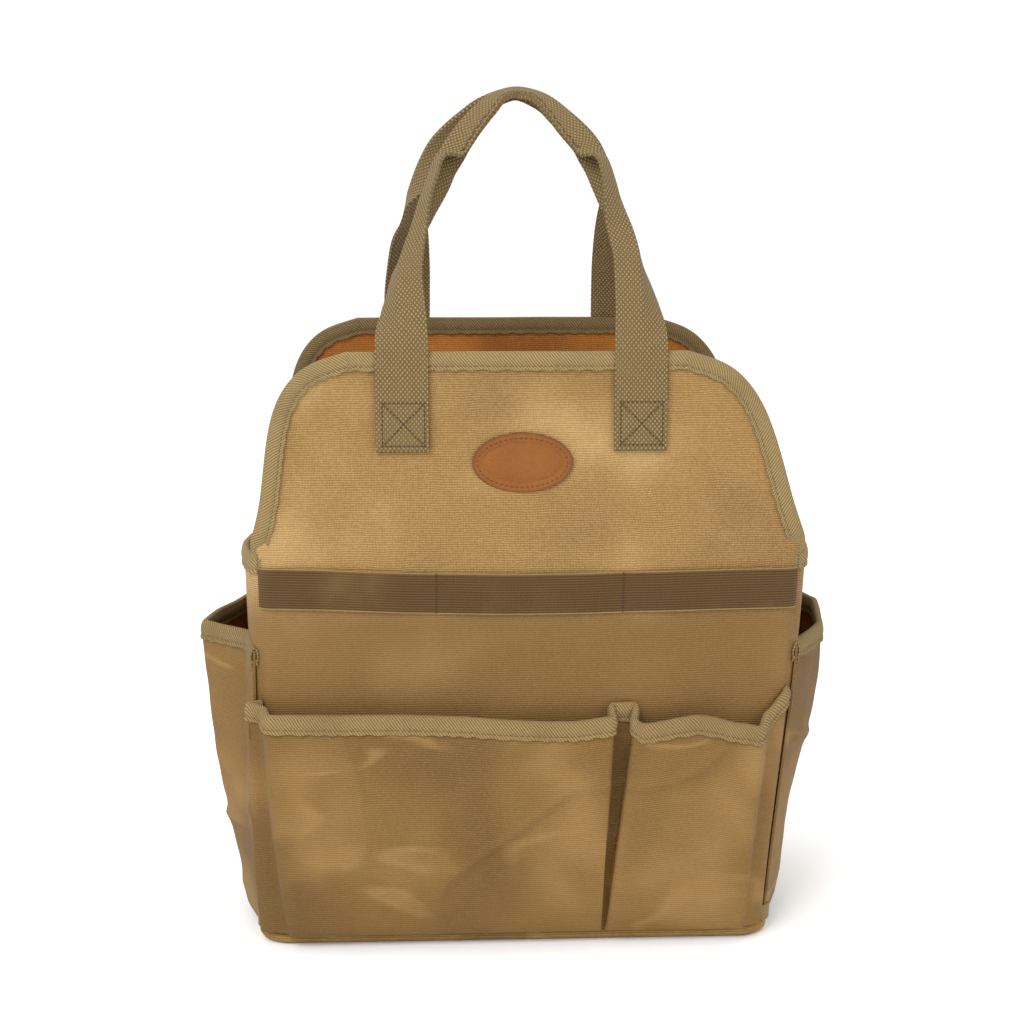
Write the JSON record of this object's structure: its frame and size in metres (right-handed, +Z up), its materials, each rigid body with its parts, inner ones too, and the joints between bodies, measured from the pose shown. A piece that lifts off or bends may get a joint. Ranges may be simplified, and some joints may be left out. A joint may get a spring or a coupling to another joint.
{
  "type": "garden tool bag",
  "caption": "Open-topped canvas tote with high rounded front and back panels, low sides, outside pockets, an elastic tool band and two folding webbing carry handles.",
  "frame": {"origin": "on the floor under the middle of the base", "axes": "+X to the bag's right seen from the front, +Y to the back, +Z up; the front with the patch faces -Y"},
  "size_m": [0.3862, 0.206, 0.5259],
  "materials": {
    "canvas": "waxed cotton canvas, tan, mottled with pale creases",
    "webbing": "khaki cotton webbing with a diamond weave",
    "binding_tape": "olive khaki twill tape",
    "elastic": "ribbed olive brown woven elastic",
    "leather": "smooth tan leather",
    "thread": "dark brown twisted thread",
    "board": "plain stiff board, hidden",
    "lining": "orange tan coated lining"
  },
  "bodies": {
    "bag": {"back_left_handle_tab": "webbing", "back_left_pocket": "canvas", "back_left_pocket_binding": "binding_tape", "back_left_seam_tape": "binding_tape", "back_panel": "canvas", "back_right_handle_tab": "webbing", "back_right_pocket": "canvas", "back_right_pocket_binding": "binding_tape", "back_right_seam_tape": "binding_tape", "back_rim_binding": "binding_tape", "back_tab_stitching": "thread", "base_lining": "lining", "base_panel": "canvas", "base_piping": "canvas", "base_stiffener": "board", "front_left_handle_tab": "webbing", "front_left_pocket": "canvas", "front_left_pocket_binding": "binding_tape", "front_left_seam_tape": "binding_tape", "front_panel": "canvas", "front_right_handle_tab": "webbing", "front_right_pocket": "canvas", "front_right_pocket_binding": "binding_tape", "front_right_seam_tape": "binding_tape", "front_rim_binding": "binding_tape", "front_tab_stitching": "thread", "leather_patch": "leather", "left_foot_tape": "binding_tape", "left_rim_binding": "binding_tape", "left_side_panel": "canvas", "left_side_pocket": "canvas", "left_side_pocket_binding": "binding_tape", "patch_stitching": "thread", "right_foot_tape": "binding_tape", "right_rim_binding": "binding_tape", "right_side_panel": "canvas", "right_side_pocket": "canvas", "right_side_pocket_binding": "binding_tape", "tool_band": "elastic", "tool_band_stitching": "thread"},
    "front_handle": {"front_handle": "webbing", "front_grip_stitching": "thread"},
    "back_handle": {"back_handle": "webbing", "back_grip_stitching": "thread"}
  },
  "joints": [
    {"name": "front_handle_fold", "type": "hinge", "parent": "bag", "child": "front_handle", "pos_m": [0, -0.0912, 0.341], "axis": [1, 0, 0], "range_deg": [0, 165]},
    {"name": "back_handle_fold", "type": "hinge", "parent": "bag", "child": "back_handle", "pos_m": [0, 0.0912, 0.341], "axis": [-1, 0, 0], "range_deg": [0, 165]}
  ]
}
